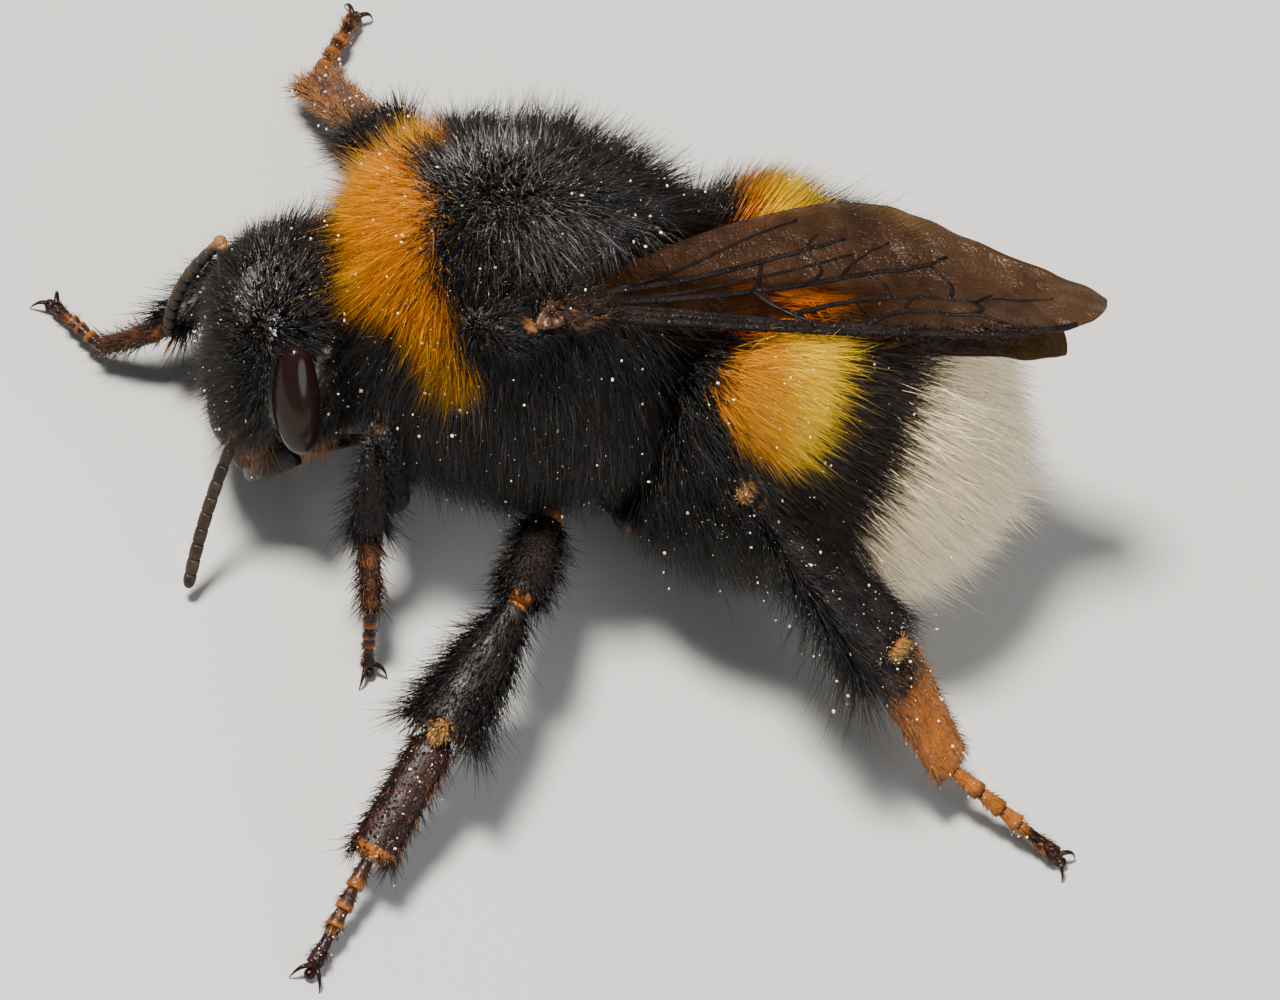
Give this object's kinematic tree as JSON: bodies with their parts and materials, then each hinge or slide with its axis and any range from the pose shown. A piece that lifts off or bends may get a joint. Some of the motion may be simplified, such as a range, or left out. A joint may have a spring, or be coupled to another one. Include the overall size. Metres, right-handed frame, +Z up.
{
  "type": "bumblebee",
  "caption": "Life-size still model of a buff-tailed bumblebee queen standing on all its feet, wings folded back over the abdomen.",
  "frame": {"origin": "middle of the bounding box at floor level, under the feet", "axes": "+Z up from the floor, the head faces -Y, +X is the bee's left side"},
  "size_m": [0.0284, 0.0256, 0.011],
  "materials": {
    "black_coat": "dense black hair with a silver sheen",
    "orange_coat": "golden-orange hair, yellower at its borders",
    "yellow_coat": "golden-yellow hair, paler at the tips",
    "white_coat": "cream-white hair with buff edges",
    "black_shell": "glossy black chitin with fine pits",
    "brown_shell": "satin reddish-brown chitin",
    "eye": "glossy dark purple-brown",
    "wing": "smoky translucent brown membrane with dark veins"
  },
  "bodies": {
    "root": {"thorax": "black_coat", "abdomen_1": "black_coat", "abdomen_3": "black_coat", "head": "black_coat", "collar": "orange_coat", "abdomen_2": "yellow_coat", "abdomen_4": "white_coat", "abdomen_5": "white_coat", "abdomen_6": "white_coat", "waist": "black_shell", "clypeus": "black_shell", "scape_left": "black_shell", "scape_right": "black_shell", "flagellum_left": "black_shell", "flagellum_right": "black_shell", "hip_front_left": "black_shell", "femur_front_left": "black_shell", "tibia_front_left": "black_shell", "hip_front_right": "black_shell", "femur_front_right": "black_shell", "tibia_front_right": "black_shell", "hip_mid_left": "black_shell", "femur_mid_left": "black_shell", "tibia_mid_left": "black_shell", "hip_mid_right": "black_shell", "femur_mid_right": "black_shell", "tibia_mid_right": "black_shell", "hip_hind_left": "black_shell", "femur_hind_left": "black_shell", "tibia_hind_left": "black_shell", "hip_hind_right": "black_shell", "femur_hind_right": "black_shell", "tibia_hind_right": "black_shell", "labrum": "brown_shell", "mandible_left": "brown_shell", "mandible_right": "brown_shell", "proboscis": "brown_shell", "tegula_left": "brown_shell", "tegula_right": "brown_shell", "basitarsus_front_left": "brown_shell", "tarsus_front_left": "brown_shell", "basitarsus_front_right": "brown_shell", "tarsus_front_right": "brown_shell", "basitarsus_mid_left": "brown_shell", "tarsus_mid_left": "brown_shell", "basitarsus_mid_right": "brown_shell", "tarsus_mid_right": "brown_shell", "basitarsus_hind_left": "brown_shell", "tarsus_hind_left": "brown_shell", "basitarsus_hind_right": "brown_shell", "tarsus_hind_right": "brown_shell", "eye_left": "eye", "eye_right": "eye", "forewing_left": "wing", "forewing_right": "wing", "hindwing_left": "wing", "hindwing_right": "wing"}
  },
  "joints": []
}
